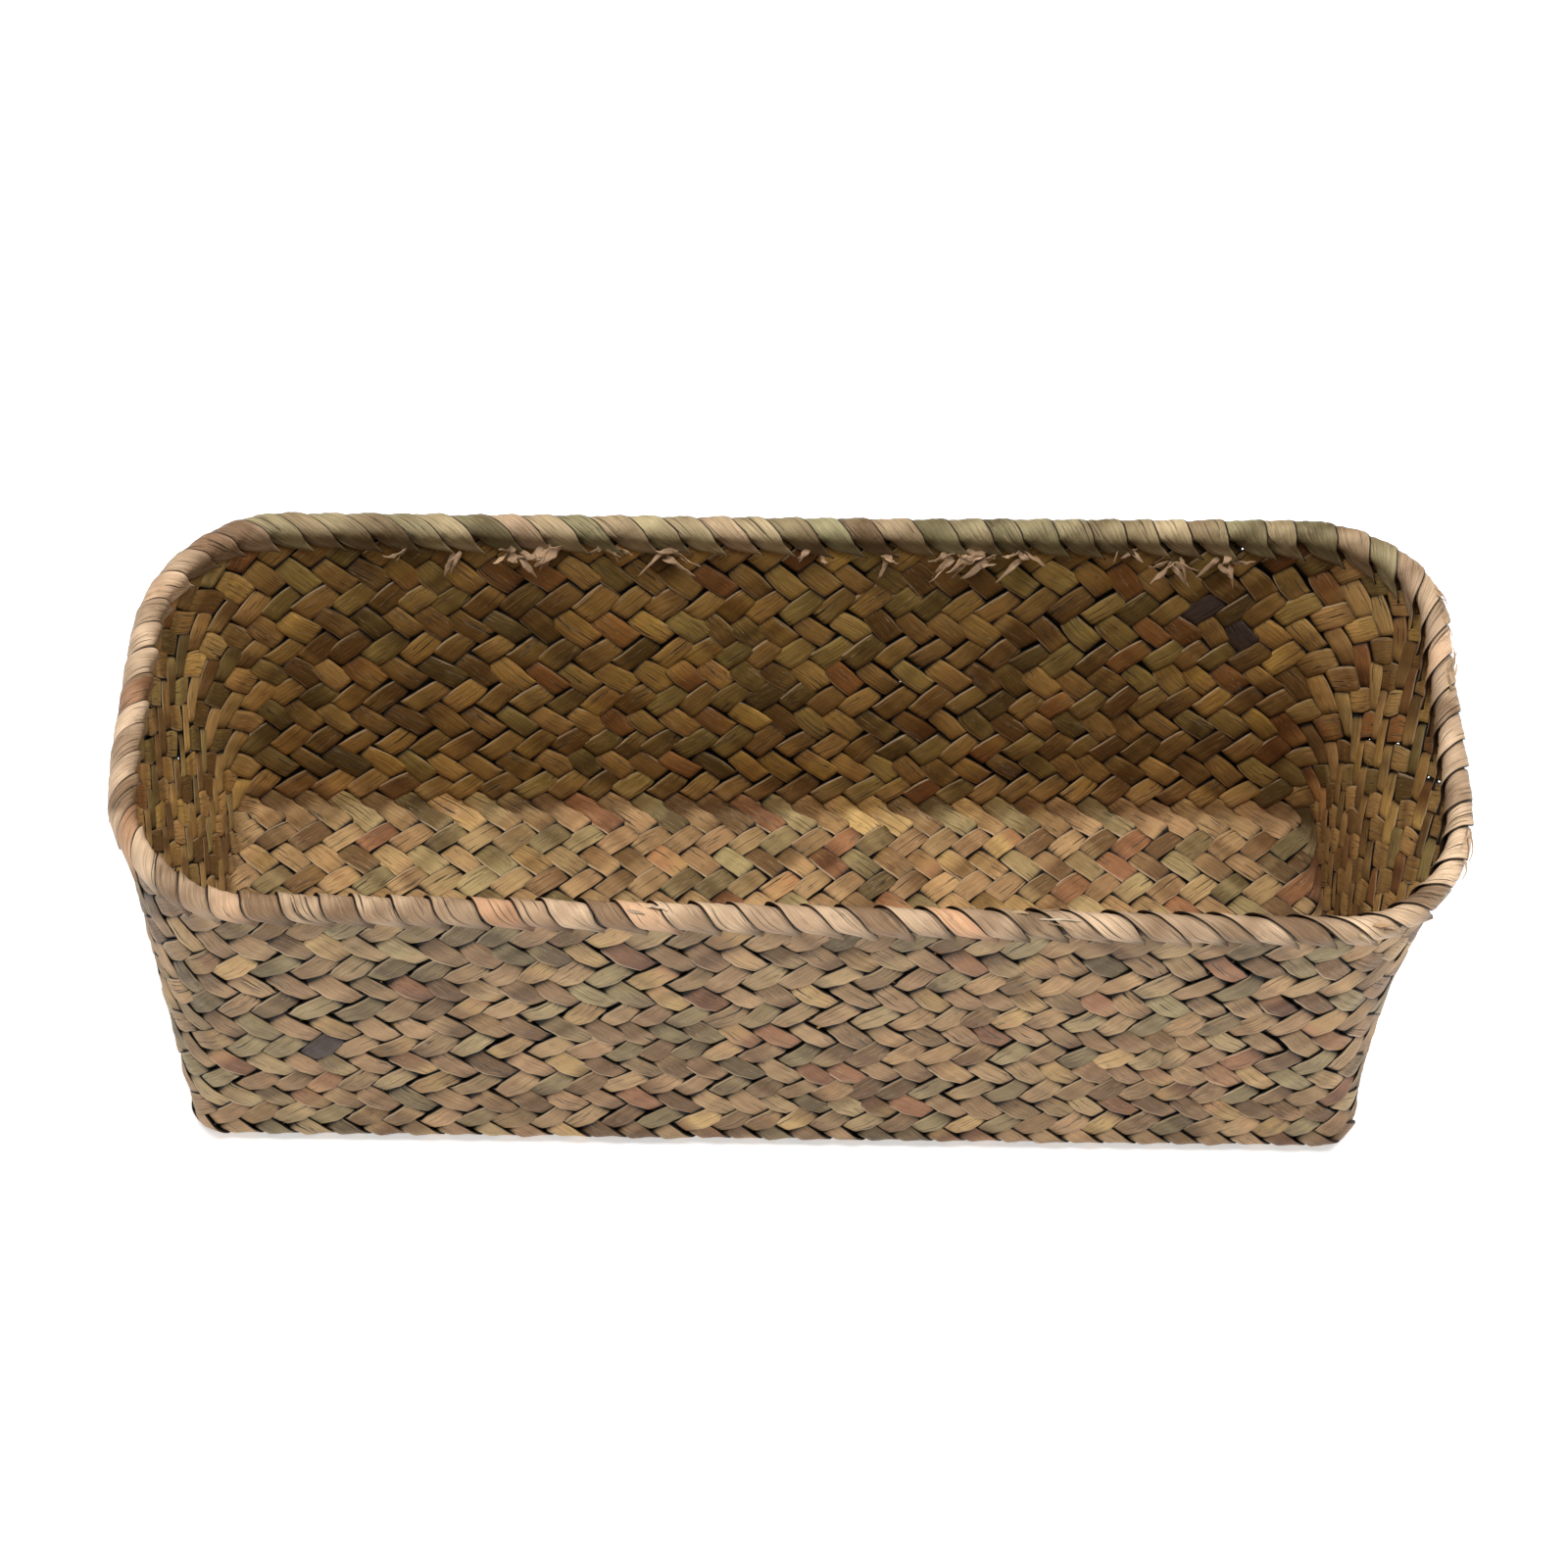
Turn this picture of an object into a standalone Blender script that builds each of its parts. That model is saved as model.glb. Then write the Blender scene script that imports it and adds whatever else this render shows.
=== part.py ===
"""Plaited bread basket: a flat woven base folded up into flared walls, with a wrapped rim.

Metres, +Z up. The origin is the middle of the underside, the length runs along X.
"""
import math

import bmesh
import bpy
from mathutils import Vector

# Overall size, measured over the wrapped rim.
LENGTH = 0.300
WIDTH = 0.124
HEIGHT = 0.097

# The foot of the walls, measured over the outside of the weave.
FOOT_LENGTH = 0.265
FOOT_WIDTH = 0.101

# The weave is two strands thick.
WEAVE = 0.0024
FOLD_RADIUS = 0.0045
FOOT_CORNER = 0.0030
TOP_CORNER = 0.0300
FLARE_BEND = 0.30

# The rim: a grass core lying on the wall's top edge, with the strand ends wrapped over it.
CORE_RADIUS = 0.0023
WRAP_THICKNESS = 0.0008
LIP_DEPTH = 0.0034
WRAP_COUNT = 47
WRAP_LEAN = 0.0165

# Loose ends left on the inside of the back wall: place along X, length and width.
TUCKED_ENDS = ((-0.055, 0.011, 0.0050), (0.044, 0.017, 0.0060), (0.100, 0.010, 0.0045))
TUCKED_THICKNESS = 0.0010
TUCKED_DROP = 0.0030
TUCKED_BOW = 0.0016

# Clear air between neighbouring pieces.
GAP = 0.0003

# Mesh steps.
WALL_STEPS = 6
FOLD_STEPS = 4
CORNER_STEPS = 12
CORE_SIDES = 10
WRAP_STEPS_BEND = 5
TUCKED_STEPS = 5

# Heights and half sizes that follow from the sizes above.
RIM_REACH = CORE_RADIUS + GAP + WRAP_THICKNESS
CORE_HEIGHT = HEIGHT - RIM_REACH
WALL_TOP = CORE_HEIGHT - CORE_RADIUS - GAP
HALF_WEAVE = WEAVE / 2
RIM_X = LENGTH / 2 - RIM_REACH
RIM_Y = WIDTH / 2 - RIM_REACH
FOOT_X = FOOT_LENGTH / 2 - HALF_WEAVE
FOOT_Y = FOOT_WIDTH / 2 - HALF_WEAVE
FOLD_MIDDLE = FOLD_RADIUS - HALF_WEAVE
BASE_X = FOOT_X - FOLD_MIDDLE
BASE_Y = FOOT_Y - FOLD_MIDDLE


def clear_scene():
    for item in list(bpy.data.objects):
        bpy.data.objects.remove(item, do_unlink=True)


def material(name, colour, roughness):
    made = bpy.data.materials.new(name)
    made.use_nodes = True
    shader = made.node_tree.nodes["Principled BSDF"]
    shader.inputs["Base Color"].default_value = (*colour, 1.0)
    shader.inputs["Roughness"].default_value = roughness
    shader.inputs["Metallic"].default_value = 0.0
    return made


def outline_at(height):
    """Half length, half width and corner radius of the weave's mid surface at a height."""
    share = (height - FOLD_RADIUS) / (WALL_TOP - FOLD_RADIUS)
    share = min(max(share, 0.0), 1.0)
    rise = share * (1.0 - FLARE_BEND) + share * share * FLARE_BEND
    half_x = FOOT_X + (RIM_X - FOOT_X) * rise
    half_y = FOOT_Y + (RIM_Y - FOOT_Y) * rise
    foot_radius = FOOT_CORNER + FOLD_MIDDLE
    return half_x, half_y, foot_radius + (TOP_CORNER - foot_radius) * share


def side_point(side, part, half_x, half_y, radius, out):
    """A point and its outward direction on a rounded rectangle.

    Sides 0, 2, 4 and 6 are the front, right, back and left runs, the odd ones the corners
    that follow them. part runs from 0 to 1 along the side, counter-clockwise from above.
    """
    turn = (side // 2) * math.pi / 2
    long_x, long_y = (half_x, half_y) if side // 2 % 2 == 0 else (half_y, half_x)
    flat = long_x - radius
    if side % 2 == 0:
        x, y, aim = flat * (2 * part - 1), -long_y - out, -math.pi / 2
    else:
        aim = -math.pi / 2 + part * math.pi / 2
        x = flat + (radius + out) * math.cos(aim)
        y = -(long_y - radius) + (radius + out) * math.sin(aim)
    cos_t, sin_t = math.cos(turn), math.sin(turn)
    return x * cos_t - y * sin_t, x * sin_t + y * cos_t


def run_lengths():
    """Lengths of the eight sides of the rim's centre line."""
    flat_x = 2 * (RIM_X - TOP_CORNER)
    flat_y = 2 * (RIM_Y - TOP_CORNER)
    bend = math.pi / 2 * TOP_CORNER
    return [flat_x, bend, flat_y, bend, flat_x, bend, flat_y, bend]


def rim_point(along, out, height):
    """A point near the rim, at a distance along its centre line and outward from it."""
    lengths = run_lengths()
    along = along % sum(lengths)
    side = 0
    while along > lengths[side] and side < 7:
        along -= lengths[side]
        side += 1
    x, y = side_point(side, along / lengths[side], *outline_at(height), out)
    return x, y, height


def add_object(name, bm, look):
    bmesh.ops.remove_doubles(bm, verts=bm.verts, dist=1e-7)
    bmesh.ops.recalc_face_normals(bm, faces=bm.faces)
    if bm.calc_volume(signed=True) < 0:
        bmesh.ops.reverse_faces(bm, faces=bm.faces)
    mesh = bpy.data.meshes.new(name)
    bm.to_mesh(mesh)
    bm.free()
    mesh.materials.append(look)
    mesh.shade_smooth()
    mesh.set_sharp_from_angle(angle=math.radians(35))
    made = bpy.data.objects.new(name, mesh)
    bpy.context.scene.collection.objects.link(made)
    return made


def skin(name, outer, inner, look):
    """A closed solid between two matching grids of points."""
    bm = bmesh.new()
    rows, columns = len(outer), len(outer[0])
    front = [[bm.verts.new(p) for p in row] for row in outer]
    back = [[bm.verts.new(p) for p in row] for row in inner]
    for i in range(rows - 1):
        for j in range(columns - 1):
            bm.faces.new((front[i][j], front[i][j + 1], front[i + 1][j + 1], front[i + 1][j]))
            bm.faces.new((back[i][j], back[i + 1][j], back[i + 1][j + 1], back[i][j + 1]))
    for i in range(rows - 1):
        bm.faces.new((front[i][0], front[i + 1][0], back[i + 1][0], back[i][0]))
        bm.faces.new((front[i][-1], back[i][-1], back[i + 1][-1], front[i + 1][-1]))
    for j in range(columns - 1):
        bm.faces.new((front[0][j], back[0][j], back[0][j + 1], front[0][j + 1]))
        bm.faces.new((front[-1][j], front[-1][j + 1], back[-1][j + 1], back[-1][j]))
    return add_object(name, bm, look)


def panel_levels():
    """Rows of a wall from the base's edge to its top: outlines of the outer and inner face."""
    rows = []
    for i in range(FOLD_STEPS + 1):
        angle = math.pi / 2 * i / FOLD_STEPS
        pair = []
        for radius in (FOLD_RADIUS, FOLD_RADIUS - WEAVE):
            reach = radius * math.sin(angle)
            level = FOLD_RADIUS - radius * math.cos(angle)
            pair.append((BASE_X + reach, BASE_Y + reach, FOOT_CORNER + reach, level))
        rows.append(pair)
    for i in range(1, WALL_STEPS + 1):
        level = FOLD_RADIUS + (WALL_TOP - FOLD_RADIUS) * i / WALL_STEPS
        half_x, half_y, radius = outline_at(level)
        pair = []
        for out in (HALF_WEAVE, -HALF_WEAVE):
            pair.append((half_x + out, half_y + out, radius + out, level))
        rows.append(pair)
    return rows


def wall_panel(name, side, look):
    """One side of the basket, folded up from the base; even sides are flat, odd ones bend."""
    steps = 1 if side % 2 == 0 else CORNER_STEPS
    grids = ([], [])
    for pair in panel_levels():
        for grid, (half_x, half_y, radius, level) in zip(grids, pair):
            long_x = half_x if side // 2 % 2 == 0 else half_y
            trim = GAP / (2 * (long_x - radius)) if side % 2 == 0 else 0.0
            row = []
            for i in range(steps + 1):
                part = trim + (1 - 2 * trim) * i / steps
                x, y = side_point(side, part, half_x, half_y, radius, 0.0)
                row.append((x, y, level))
            grid.append(row)
    return skin(name, grids[0], grids[1], look)


def base_mat(look):
    """The flat bottom, a rounded rectangle drawn once and extruded to the weave's thickness."""
    bm = bmesh.new()
    edge = []
    for side in (1, 3, 5, 7):
        for i in range(CORNER_STEPS // 2 + 1):
            part = i / (CORNER_STEPS // 2)
            x, y = side_point(side, part, BASE_X - GAP, BASE_Y - GAP, FOOT_CORNER, 0.0)
            edge.append(bm.verts.new((x, y, 0.0)))
    face = bm.faces.new(edge)
    grown = bmesh.ops.extrude_face_region(bm, geom=[face])
    lifted = [item for item in grown["geom"] if isinstance(item, bmesh.types.BMVert)]
    bmesh.ops.translate(bm, verts=lifted, vec=Vector((0.0, 0.0, WEAVE)))
    return add_object("base_mat", bm, look)


def rim_core(look):
    """The closed ring of grass that the strand ends are folded over."""
    stations = []
    for side in range(8):
        steps = 1 if side % 2 == 0 else CORNER_STEPS
        stations += [(side, i / steps) for i in range(steps)]
    bm = bmesh.new()
    rings = []
    for side, part in stations:
        ring = []
        for k in range(CORE_SIDES):
            angle = 2 * math.pi * k / CORE_SIDES
            out = CORE_RADIUS * math.cos(angle)
            x, y = side_point(side, part, RIM_X, RIM_Y, TOP_CORNER, out)
            ring.append(bm.verts.new((x, y, CORE_HEIGHT + CORE_RADIUS * math.sin(angle))))
        rings.append(ring)
    for i, ring in enumerate(rings):
        following = rings[(i + 1) % len(rings)]
        for k in range(CORE_SIDES):
            m = (k + 1) % CORE_SIDES
            bm.faces.new((ring[k], following[k], following[m], ring[m]))
    return add_object("rim_core", bm, look)


def wrap_section(offset):
    """The wrap's path over the rim, from the inner lip to the outer one, at an offset."""
    side = HALF_WEAVE + GAP + offset
    round_radius = CORE_RADIUS + GAP + offset
    waist = math.asin(min(side / round_radius, 1.0))
    foot = WALL_TOP - LIP_DEPTH
    arc_steps = 8
    points = [(-side, foot), (-side, WALL_TOP - LIP_DEPTH / 3)]
    start = math.pi * 1.5 - waist * 1.25
    end = -math.pi * 0.5 + waist * 1.25
    for i in range(arc_steps + 1):
        angle = start + (end - start) * i / arc_steps
        points.append((round_radius * math.cos(angle), CORE_HEIGHT + round_radius * math.sin(angle)))
    points += [(side, WALL_TOP - LIP_DEPTH / 3), (side, foot)]
    return points


def rim_wrap(number, look):
    """Two neighbouring strand ends folded over the core, leaning along the rim."""
    total = sum(run_lengths())
    share = total / WRAP_COUNT
    first = share * number
    outer_path = wrap_section(WRAP_THICKNESS)
    inner_path = wrap_section(0.0)
    count = len(outer_path)
    lengths = run_lengths()
    straight = False
    start = 0.0
    for side, length in enumerate(lengths):
        low, high = first - WRAP_LEAN / 2, first + share + WRAP_LEAN / 2
        if side % 2 == 0 and low % total >= start and low % total + high - low <= start + length:
            straight = True
        start += length
    steps = 1 if straight else WRAP_STEPS_BEND
    grids = ([], [])
    for grid, path in zip(grids, (outer_path, inner_path)):
        for k, (out, height) in enumerate(path):
            lean = WRAP_LEAN * (k / (count - 1) - 0.5)
            row = []
            for i in range(steps + 1):
                along = first + lean + GAP / 2 + (share - GAP) * i / steps
                x, y, z = rim_point(along, out, height)
                row.append((x, y, z))
            grid.append(row)
    return skin(f"rim_wrap_{number + 1:02d}", grids[0], grids[1], look)


def tucked_end(number, place, length, width, look):
    """A short curl of strand end lying against the inside of the back wall."""
    top = WALL_TOP - LIP_DEPTH - TUCKED_DROP
    near, far = [], []
    for i in range(TUCKED_STEPS + 1):
        part = i / TUCKED_STEPS
        taper = 0.55 + 0.45 * math.sin(math.pi * (0.15 + 0.75 * part))
        bow = TUCKED_BOW * math.sin(math.pi * part)
        near_row, far_row = [], []
        for edge in (-1.0, 1.0):
            height = top - edge * width / 2 * taper - part * width * 0.5
            face = outline_at(height)[1] - HALF_WEAVE - GAP
            x = place + length * (part - 0.5)
            near_row.append((x, face - TUCKED_THICKNESS - bow, height))
            far_row.append((x, face - bow * 0.5, height))
        near.append(near_row)
        far.append(far_row)
    return skin(f"tucked_end_{number}", near, far, look)


def build():
    clear_scene()
    grass = material("dry_grass", (0.38, 0.24, 0.13), 0.62)
    floor_grass = material("pale_grass", (0.42, 0.29, 0.15), 0.62)
    rim_grass = material("rim_grass", (0.55, 0.36, 0.22), 0.55)
    cord = material("core_grass", (0.30, 0.20, 0.10), 0.75)
    loose = material("bleached_grass", (0.62, 0.45, 0.28), 0.60)
    base_mat(floor_grass)
    names = ("front_wall", "corner_front_right", "right_wall", "corner_back_right",
             "back_wall", "corner_back_left", "left_wall", "corner_front_left")
    for side, name in enumerate(names):
        wall_panel(name, side, grass)
    rim_core(cord)
    for number in range(WRAP_COUNT):
        rim_wrap(number, rim_grass)
    for number, (place, length, width) in enumerate(TUCKED_ENDS, start=1):
        tucked_end(number, place, length, width, loose)


build()
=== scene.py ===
"""A plaited bread basket of flat grass strands, for Blender 4.5. Lengths are in millimetres until
a mesh is made. n runs counter-clockwise round the walls and m up them, both in strand pitches."""
import math

import bpy
import numpy as np
from mathutils import Matrix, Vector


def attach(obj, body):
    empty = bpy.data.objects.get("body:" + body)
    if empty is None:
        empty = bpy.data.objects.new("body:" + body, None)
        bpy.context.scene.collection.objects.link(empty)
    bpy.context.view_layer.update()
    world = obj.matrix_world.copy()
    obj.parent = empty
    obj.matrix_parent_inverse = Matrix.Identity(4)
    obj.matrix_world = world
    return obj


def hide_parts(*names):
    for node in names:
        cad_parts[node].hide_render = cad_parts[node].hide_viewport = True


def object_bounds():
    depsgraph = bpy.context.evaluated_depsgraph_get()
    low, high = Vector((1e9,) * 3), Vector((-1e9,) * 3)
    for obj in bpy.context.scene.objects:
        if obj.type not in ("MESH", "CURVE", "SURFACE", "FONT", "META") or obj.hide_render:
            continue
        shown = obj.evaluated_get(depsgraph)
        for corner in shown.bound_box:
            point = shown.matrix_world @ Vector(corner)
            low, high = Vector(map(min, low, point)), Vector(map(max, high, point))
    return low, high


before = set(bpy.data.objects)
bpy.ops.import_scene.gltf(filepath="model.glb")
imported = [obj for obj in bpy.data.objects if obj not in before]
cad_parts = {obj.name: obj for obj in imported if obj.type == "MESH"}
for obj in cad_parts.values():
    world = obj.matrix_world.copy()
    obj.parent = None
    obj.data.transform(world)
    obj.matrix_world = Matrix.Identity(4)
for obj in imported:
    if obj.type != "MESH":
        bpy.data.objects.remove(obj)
cad_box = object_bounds()

# The basket's sizes. They are the CAD's own, but the fold from base to wall sits a little higher,
# so that the undersides of the strands clear the floor.
HALF_LENGTH, HALF_WIDTH, HEIGHT = [1000 * float(v) for v in cad_box[1]]
RIM_REACH = 3.4
RIM_X, RIM_Y = HALF_LENGTH - RIM_REACH, HALF_WIDTH - RIM_REACH
CORE_Z = HEIGHT - RIM_REACH
FOOT_X, FOOT_Y = 131.3, 49.3
FOLD = 3.3
FOLD_Z = 5.05
WALL_DROP = 2.6
WALL_TOP = CORE_Z - WALL_DROP
FLAT_X, FLAT_Y = FOOT_X - FOLD, FOOT_Y - FOLD
FOOT_CORNER, TOP_CORNER = 6.3, 30.0
# The share of a wall's flare that comes late, and the share of its length that is height.
FLARE_BEND = 0.3
UPRIGHT = 0.985

# The weave: pitches along the base, across it and round the walls, and rows up a wall.
LONG, SHORT = 33, 14
HALF_LONG, HALF_SHORT = LONG / 2, SHORT / 2
AROUND = 2 * (LONG + SHORT)
PITCH = 7.8
FOLD_HALF = math.pi / 4 * FOLD / PITCH
TOP_M = 12
CORNER_DRIFT = 0.75
# Crossings are half a pitch apart. Of the four in two pitches, a strand goes under at those less
# far along than this, which are two, and over at the other two.
UNDER = 0.75
# Rows are this share of a pitch tall, lower at the foot and taller at the rim by ROW_GROWTH,
# which is ROW_SWAY more on the front and ROW_SWAY less on the back.
ROW_HEIGHT, ROW_GROWTH, ROW_SWAY = 0.98, 0.06, 0.03
# The weave's own waviness on the walls: shift along n, shift along m, turns round the basket,
# turn per row, phase. It comes in and eases off between two rows each, and loses a share.
WAVES = (
    (0.10, 0.09, 7, 0.55, 0.4), (0.07, -0.08, 13, -0.70, 2.1), (-0.06, 0.05, 19, 0.90, 4.0),
    (0.03, 0.035, 29, -1.30, 1.2), (-0.02, 0.02, 37, 1.70, 5.3),
)
WAVES_IN, WAVES_OFF, WAVES_LOST = (0.2, 2.0), (10.0, 12.0), 0.7

# The basket's own unevenness: how far the foot lies to the left, how far the ends bulge half way
# up, and how far the top corners move in or out along the length.
FOOT_LEFT = 6.2
BULGE_LEFT, BULGE_RIGHT = 1.4, -3.0
NEAR_LEFT_IN, FAR_LEFT_IN, FAR_RIGHT_OUT, NEAR_RIGHT_IN = 3.0, 2.0, 1.6, 2.6
# How far the near wall's top leans in, its foot stands out and its rim is raised, each with its
# change towards the right, and how far the far right rim is raised.
LEAN, LEAN_TURN = 2.2, -1.6
FOOT_OUT, FOOT_TURN = 0.4, 0.5
NEAR_HIGH, NEAR_TURN, FAR_HIGH = 0.6, -1.0, 0.9

# A strand: its section, its distance from the middle of the weave at a crossing, and its rings
# per half pitch.
STRAND_WIDTH = 6.35
STRAND_THICK = 0.85
OFFSET = 0.60
SAMPLES = 6
# The part of a half pitch in which it changes sides, and its bulge outside and inside.
CROSSING = (0.24, 0.76)
BULGE_OUT, BULGE_IN = 0.42, 0.10
# The tongue at a float's lower end: where its middle is on a strand's first and second wall, its
# reach and how much it narrows.
TONGUE_AT, TONGUE_REACH, TONGUE_PINCH = (0.36, 0.64), 0.34, 0.26
# How much a strand strays and how quickly along it: sideways, out of the weave, in width, in
# thickness and in its roll; and how much one strand's width differs from another's.
STRAY_SIDE, STRAY_OUT, STRAY_WIDTH = (0.36, 0.45), (0.12, 0.8), (0.07, 0.7)
STRAY_THICK, STRAY_ROLL = (0.15, 0.6), (math.radians(4.5), 0.9)
WIDTH_SPREAD = 0.08
# Crossings that have gone slate grey, as (n, m, 1 outside or -1 inside).
STAINED = ((3.75, 5.25, 1), (51.25, 9.25, -1), (49.75, 8.25, -1))
STAIN_REACH = 0.25
STAIN_MARK = -3.0
# How much painted shade darkens and browns the inner side of a wall: at the foot, the heights it
# grows between, what it loses at the ends of the basket and where along the length.
INNER_SHADE_FOOT, INNER_SHADE_GAIN, INNER_SHADE_HEIGHTS = 0.18, 0.82, (4.0, 16.0)
INNER_SHADE_LOST, INNER_SHADE_ENDS = 0.40, (112.0, 136.0)

# The lapped rim: the roll's radius, how far round it the laps go, and how they lie on the wall.
ROLL_R = 2.65
WAIST = math.radians(104)
LIP = 1.9
TAIL = 4.8
LIP_STAND = 1.5
LAP_WIDTH = 7.7
LAP_THICK = 0.5
LAP_SHINGLE = 0.42
LAP_ROUND = LIP + TAIL + 2 * ROLL_R * WAIST
LAP_RINGS = 37
# A lap's lean in pitches along for each pitch round, its outer end's sweep on and its inner end's
# sweep back with the lengths they start from, and the lengths over which the ends taper.
LAP_LEAN = 0.92
SWEEP_ON, SWEEP_BACK = (0.22, 5.5), (0.30, 5.0)
TAPER_OUT, TAPER_IN = (-1.0, 5.4), (-1.2, 4.6)
# How far the outer end stands off, at least and how much more at most, and the same inside.
STAND_OUT, STAND_IN = (0.35, 1.6), (0.7, 0.6)
# The bundle in the rim: rings, turns per pitch, distance from the middle and thickness of a stem.
STEM_RINGS, STEM_TURN, STEM_REACH, STEM_THICK = 480, 0.12, 1.15, 1.9
STEMS, STEM_SEED = 4, 900
SHRED_THICK, SHRED_RINGS, SHRED_SEED = 0.22, 15, 4

# Strands of one family, counted from the middle one, strands in a piece, and their seeds.
HALF_FAMILY = AROUND // 4
STRANDS_A_PIECE = 12
FIRST_SEED, SEED_STEP = 10, 17
# How many different grains the strands and the laps have.
STRAND_GRAINS, LAP_GRAINS = 97, 89
# The laps' tone on the front, right, back and left, and how much of its strand's tone a lap keeps.
LAP_TONES, TONE_KEPT = (0.50, 0.45, 0.02, 0.60), 0.42


def smooth(x, low, high):
    """0 below low, 1 above high, 3t^2 - 2t^3 between them."""
    t = np.clip((x - low) / (high - low), 0.0, 1.0)
    return t * t * (3.0 - 2.0 * t)


def noise(x, seed, octaves=2):
    """Smooth seeded noise of one variable: values at whole numbers joined by
    3t^2 - 2t^3, octaves summed at double the rate and half the size."""
    total = np.zeros_like(np.asarray(x, float))
    for octave in range(octaves):
        table = np.random.default_rng(seed * 7 + octave).uniform(-1.0, 1.0, 512)
        p = np.asarray(x, float) * 2**octave + 100.0
        k = np.floor(p).astype(int)
        f = p - k
        f = f * f * (3.0 - 2.0 * f)
        total += (table[k % 512] * (1 - f) + table[(k + 1) % 512] * f) / 2**octave
    return total


def sag(points):
    """The basket's own unevenness: each point moves by a few millimetres, which are the named
    amounts times smooth shares of its height, of the way to an end and of the way to a side."""
    x, y, z = points[..., 0], points[..., 1], points[..., 2]
    up = np.clip(z / HEIGHT, 0.0, 1.0)
    side = x / HALF_LENGTH
    left, right = smooth(-side, 0.1, 0.9), smooth(side, 0.1, 0.9)
    near, far = smooth(-y / HALF_WIDTH, -0.6, 0.9), smooth(y / HALF_WIDTH, 0.2, 0.9)
    corner = smooth(-y / HALF_WIDTH, 0.2, 0.9) * up
    left_end, right_end = smooth(-side, 0.75, 1.0), smooth(side, 0.75, 1.0)
    belly = np.sin(math.pi * up)
    moved = points.copy()
    moved[..., 0] += -left * FOOT_LEFT * (1 - up) - left * BULGE_LEFT * belly + right * BULGE_RIGHT * belly
    moved[..., 0] += (left_end * (NEAR_LEFT_IN * corner + FAR_LEFT_IN * far * up)
                      + right_end * (FAR_RIGHT_OUT * far * up - NEAR_RIGHT_IN * corner))
    moved[..., 1] += near * (LEAN + LEAN_TURN * side) * up - near * (FOOT_OUT + FOOT_TURN * side) * (1 - up)
    moved[..., 2] += near * (NEAR_HIGH + NEAR_TURN * side) * up + right * far * FAR_HIGH * up
    return moved


def section(z):
    """The basket at height z: how far up the walls that is as a share t, the half length, the half
    width and the corner radius. The sides go out as 0.7 t + 0.3 t^2."""
    share = np.clip((z - FOLD_Z) / (WALL_TOP - FOLD_Z), 0.0, 1.0)
    rise = (1 - FLARE_BEND) * share + FLARE_BEND * share * share
    half_length = FOOT_X + (RIM_X - FOOT_X) * rise
    half_width = FOOT_Y + (RIM_Y - FOOT_Y) * rise
    return share, half_length, half_width, FOOT_CORNER + (TOP_CORNER - FOOT_CORNER) * share


def ring(n, a, b, rho, drift, pinch):
    """Point on a rounded rectangle of half sizes a and b: n is shared evenly over each half side,
    a corner lies at the middle of its arc, and the last pinch pitches close up at the corner."""
    c_long, c_short = HALF_LONG + drift, HALF_SHORT - drift
    half = AROUND / 4
    from_long = np.mod(n - HALF_LONG + half, 2 * half) - half
    long_side = np.abs(from_long) <= c_long
    from_short = np.mod(n - LONG - HALF_SHORT + half, 2 * half) - half
    back = np.mod(n - HALF_LONG + half, 4 * half) >= 2 * half
    left = np.mod(n - LONG - HALF_SHORT + half, 4 * half) >= 2 * half
    d = np.where(long_side, from_long, from_short)
    count = np.where(long_side, c_long, c_short) - pinch
    first, second = np.where(long_side, a, b), np.where(long_side, b, a)
    flat = first - rho
    reach = np.clip(np.abs(d) / count, 0.0, 1.0) * (flat + math.pi / 4 * rho)
    turn = np.maximum(reach - flat, 0.0) / rho
    along = np.sign(d) * np.where(reach > flat, flat + rho * np.sin(turn), reach)
    perp = np.where(reach > flat, second - rho + rho * np.cos(turn), second)
    flip = np.where(np.where(long_side, back, left), -1.0, 1.0)
    x = flip * np.where(long_side, along, perp)
    y = flip * np.where(long_side, -perp, along)
    return x, y


def wall(n, m):
    """The middle of the weave on a wall: a quarter circle up from the base, then a flared rise whose
    rows grow taller towards the rim. Sines of n and m shift the crossings a little."""
    fade = smooth(m, *WAVES_IN) * (1.0 - WAVES_LOST * smooth(m, *WAVES_OFF))
    turns = [np.sin(math.tau * k * n / AROUND + q * m + p) for _, _, k, q, p in WAVES]
    n = n + fade * sum(w[0] * t for w, t in zip(WAVES, turns))
    m = m + fade * sum(w[1] * t for w, t in zip(WAVES, turns))
    uneven = ROW_GROWTH + ROW_SWAY * np.cos(math.tau * (n - HALF_LONG) / AROUND)
    spread = ROW_HEIGHT * m * (1.0 - uneven + uneven * np.maximum(m, 0.0) / TOP_M)
    w = np.maximum((spread + FOLD_HALF) * PITCH, 0.0)
    bend = np.clip(w / FOLD, 0.0, math.pi / 2)
    z = FOLD_Z - FOLD * np.cos(bend) + np.maximum(w - FOLD * math.pi / 2, 0.0) * UPRIGHT
    share, a, b, rho = section(z)
    inset = FOLD * (1.0 - np.sin(bend))
    pinch = FOLD_HALF * (1.0 - np.sin(bend))
    x, y = ring(n, a - inset, b - inset, rho - inset, CORNER_DRIFT * share, pinch)
    return np.stack([x, y, z], -1)


def wall_out(n, m):
    """The way out of a wall, from the slopes of its two families of lines."""
    e = 0.05
    return unit(np.cross(wall(n + e, m) - wall(n - e, m), wall(n, m + e) - wall(n, m - e)))


def wall_place(n, m, h):
    """A point h out from the middle of a wall."""
    return wall(n, m) + wall_out(n, m) * np.asarray(h)[..., None]


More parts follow.
